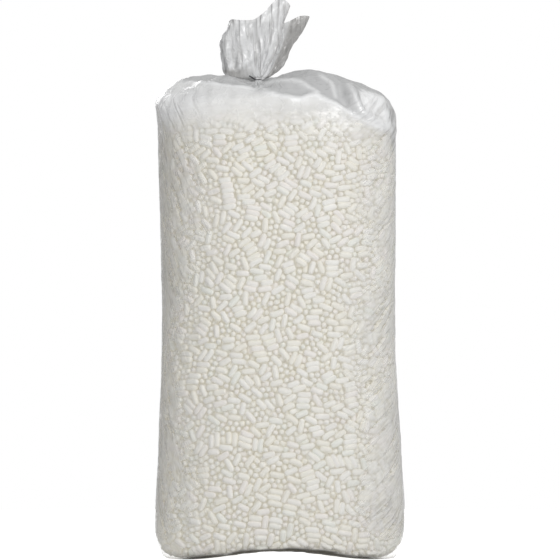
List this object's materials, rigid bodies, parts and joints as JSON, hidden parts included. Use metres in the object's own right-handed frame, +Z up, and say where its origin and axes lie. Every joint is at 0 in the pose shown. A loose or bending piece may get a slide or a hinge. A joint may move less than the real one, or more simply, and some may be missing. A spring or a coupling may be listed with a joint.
{
  "type": "packing peanut bag",
  "caption": "Tall clear film bag of loose packing peanuts, standing on two lobes, with its neck gathered in a wire tie under a flared, crumpled mouth.",
  "frame": {"origin": "on the floor, under the middle of the bag's bounding box", "axes": "+Z up along the bag, +X to the right seen from the front, front towards -Y"},
  "size_m": [0.683, 0.504, 1.5262],
  "materials": {
    "film": "clear thin polyethylene film, wrinkled, milky where it isn't pressed against the peanuts",
    "peanuts": "matte extruded starch foam, off-white",
    "wire": "satin coating on soft wire"
  },
  "bodies": {
    "root": {"bag_film": "film", "peanut_fill": "peanuts", "neck_tie": "wire", "peanut_01": "peanuts", "peanut_02": "peanuts", "peanut_03": "peanuts", "peanut_04": "peanuts", "peanut_05": "peanuts", "peanut_06": "peanuts", "peanut_07": "peanuts", "peanut_08": "peanuts", "peanut_09": "peanuts", "peanut_10": "peanuts", "peanut_11": "peanuts", "peanut_12": "peanuts", "peanut_13": "peanuts", "peanut_14": "peanuts", "peanut_15": "peanuts", "peanut_16": "peanuts", "peanut_17": "peanuts", "peanut_18": "peanuts", "peanut_19": "peanuts", "peanut_20": "peanuts", "peanut_21": "peanuts", "peanut_22": "peanuts", "peanut_23": "peanuts", "peanut_24": "peanuts", "peanut_25": "peanuts", "peanut_26": "peanuts", "peanut_27": "peanuts", "peanut_28": "peanuts", "peanut_29": "peanuts", "peanut_30": "peanuts", "peanut_31": "peanuts", "peanut_32": "peanuts", "peanut_33": "peanuts", "peanut_34": "peanuts", "peanut_35": "peanuts", "peanut_36": "peanuts", "peanut_37": "peanuts", "peanut_38": "peanuts", "peanut_39": "peanuts", "peanut_40": "peanuts", "peanut_41": "peanuts", "peanut_42": "peanuts", "peanut_43": "peanuts", "peanut_44": "peanuts", "peanut_45": "peanuts", "peanut_46": "peanuts", "peanut_47": "peanuts", "peanut_48": "peanuts"}
  },
  "joints": []
}
